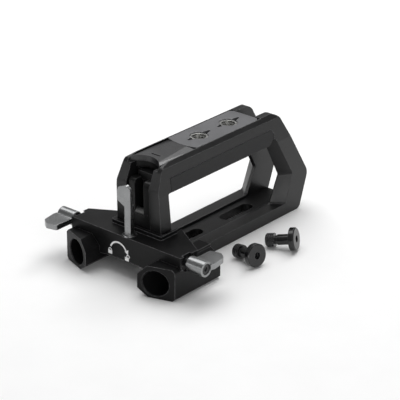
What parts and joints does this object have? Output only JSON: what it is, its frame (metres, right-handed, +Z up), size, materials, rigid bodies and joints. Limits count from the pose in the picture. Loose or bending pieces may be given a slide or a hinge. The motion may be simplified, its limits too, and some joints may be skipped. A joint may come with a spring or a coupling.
{
  "type": "camera top handle",
  "caption": "Closed-loop camera top handle with a threaded accessory deck, on a front block that clamps two parallel support rods with flip levers and lies beside loose bolts.",
  "frame": {"origin": "bottom centre of the whole arrangement, on the plane that the clamps and the handle rest on", "axes": "+X to the right along the rod block, +Y back along the handle, away from the block, +Z up"},
  "size_m": [0.112, 0.1584, 0.0674],
  "materials": {
    "frame_black": "satin black anodised, fine bead-blasted texture",
    "core_black": "satin black anodised, darker than the side plates",
    "grip_rubber": "matte black, fine grain",
    "cover_black": "satin black anodised",
    "plate_black": "satin dark anodised",
    "block_black": "satin black anodised, fine bead-blasted texture",
    "bright_steel": "machined thread",
    "dark_steel": "black oxide",
    "black_oxide": "black oxide, slightly glossy",
    "pin_steel": "ground",
    "satin_silver": "bead-blasted satin",
    "white_ink": "printed"
  },
  "bodies": {
    "handle": {"cheek_right": "frame_black", "cheek_left": "frame_black", "grip_right": "grip_rubber", "grip_left": "grip_rubber", "front_web": "core_black", "base_plate": "core_black", "spine": "core_black", "top_cover": "cover_black", "accessory_plate": "plate_black", "thread_insert_front": "bright_steel", "thread_insert_rear": "bright_steel", "plate_screw_right": "dark_steel", "plate_screw_left": "dark_steel", "cross_pin": "pin_steel"},
    "block": {"rod_block": "block_black", "clamp_right": "block_black", "clamp_left": "block_black", "lock_symbol": "white_ink"},
    "right_lever": {"lever_right": "satin_silver", "stud_right": "dark_steel", "cap_screw_right": "dark_steel"},
    "left_lever": {"lever_left": "satin_silver", "stud_left": "dark_steel", "cap_screw_left": "dark_steel"},
    "right_shoe": {"shoe_right": "pin_steel"},
    "left_shoe": {"shoe_left": "pin_steel"},
    "lock_lever": {"centre_lever": "satin_silver", "centre_collar": "satin_silver"},
    "lock_pad": {"lock_shoe": "pin_steel"},
    "front_bolt": {"bolt_front": "black_oxide"},
    "rear_bolt": {"bolt_rear": "black_oxide"}
  },
  "joints": [
    {"name": "block_release", "type": "slide", "parent": "handle", "child": "block", "axis": [0, -1, 0], "range_m": [0, 0.022]},
    {"name": "right_lever_turn", "type": "hinge", "parent": "block", "child": "right_lever", "pos_m": [0.048, -0.0612, 0.0208], "axis": [1, 0, 0], "range_deg": [0, 120]},
    {"name": "left_lever_turn", "type": "hinge", "parent": "block", "child": "left_lever", "pos_m": [-0.048, -0.0612, 0.0208], "axis": [-1, 0, 0], "range_deg": [0, 120]},
    {"name": "lock_lever_turn", "type": "hinge", "parent": "block", "child": "lock_lever", "pos_m": [0, -0.0634, 0.03], "axis": [0, 0, 1], "range_deg": [0, 150]},
    {"name": "right_shoe_lift", "type": "slide", "parent": "block", "child": "right_shoe", "axis": [0, 0, 1], "range_m": [0, 0.0000797]},
    {"name": "left_shoe_lift", "type": "slide", "parent": "block", "child": "left_shoe", "axis": [0, 0, 1], "range_m": [0, 0.0000797]},
    {"name": "lock_pad_draw", "type": "slide", "parent": "block", "child": "lock_pad", "axis": [0, -1, 0], "range_m": [0, 0.000298]},
    {"name": "front_bolt_lift", "type": "slide", "parent": "handle", "child": "front_bolt", "axis": [0, 0, 1], "range_m": [0, 0.06]},
    {"name": "rear_bolt_lift", "type": "slide", "parent": "handle", "child": "rear_bolt", "axis": [0, 0, 1], "range_m": [0, 0.06]}
  ],
  "couplings": [
    {"joint": "right_lever_turn", "follows": "right_shoe_lift", "rad_per_m": 26247},
    {"joint": "left_lever_turn", "follows": "left_shoe_lift", "rad_per_m": 26247},
    {"joint": "lock_lever_turn", "follows": "lock_pad_draw", "rad_per_m": 8772}
  ]
}
